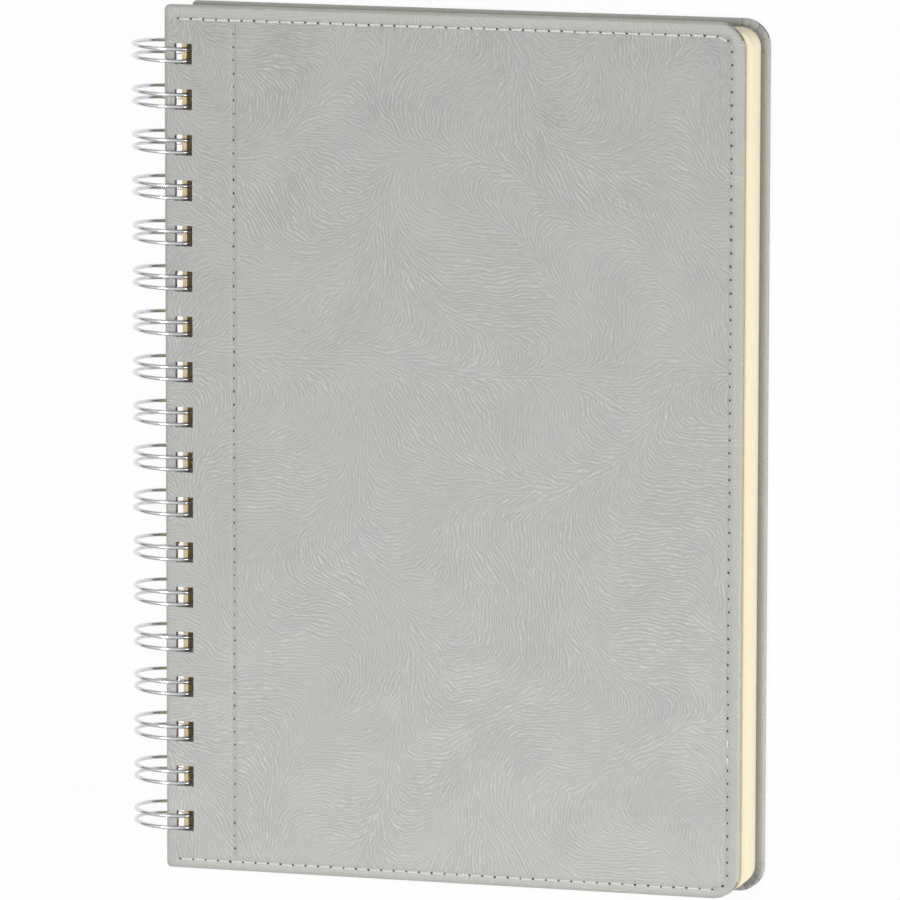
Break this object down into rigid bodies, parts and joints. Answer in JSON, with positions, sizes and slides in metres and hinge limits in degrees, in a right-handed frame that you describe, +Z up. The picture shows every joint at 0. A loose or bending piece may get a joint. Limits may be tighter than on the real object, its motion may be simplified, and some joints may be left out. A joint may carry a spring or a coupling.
{
  "type": "twin-loop wire-bound notebook",
  "caption": "Hard-cover notebook bound by one wire of twin loops: two stitched leather-grain covers hinge on the wire round a block of cream sheets.",
  "frame": {"origin": "centre of the footprint, on the surface that the closed notebook lies on", "axes": "+Y from the tail to the head of the covers, +X from the wire binding to the fore-edge, +Z up out of the front cover"},
  "size_m": [0.1805, 0.243, 0.0213],
  "materials": {
    "front_cover_leather": "grey embossed grain, satin",
    "front_cover_board": "bare grey-brown board, matte",
    "front_cover_lining": "smooth grey paper, matte",
    "back_cover_leather": "grey embossed grain, satin",
    "back_cover_board": "bare grey-brown board, matte",
    "back_cover_lining": "smooth grey paper, matte",
    "pages": "uncoated cream paper, matte",
    "wire": "bright plated wire, satin"
  },
  "bodies": {
    "binding": {"page_block": "pages", "binding_wire": "wire"},
    "front_cover": {"front_cover_leather": "front_cover_leather", "front_cover_board": "front_cover_board", "front_cover_lining": "front_cover_lining"},
    "back_cover": {"back_cover_leather": "back_cover_leather", "back_cover_board": "back_cover_board", "back_cover_lining": "back_cover_lining"}
  },
  "joints": [
    {"name": "front_cover_hinge", "type": "hinge", "parent": "binding", "child": "front_cover", "pos_m": [-0.0797, 0, 0.01065], "axis": [0, -1, 0], "range_deg": [0, 210]},
    {"name": "back_cover_hinge", "type": "hinge", "parent": "binding", "child": "back_cover", "pos_m": [-0.0797, 0, 0.01065], "axis": [0, 1, 0], "range_deg": [0, 210]}
  ]
}
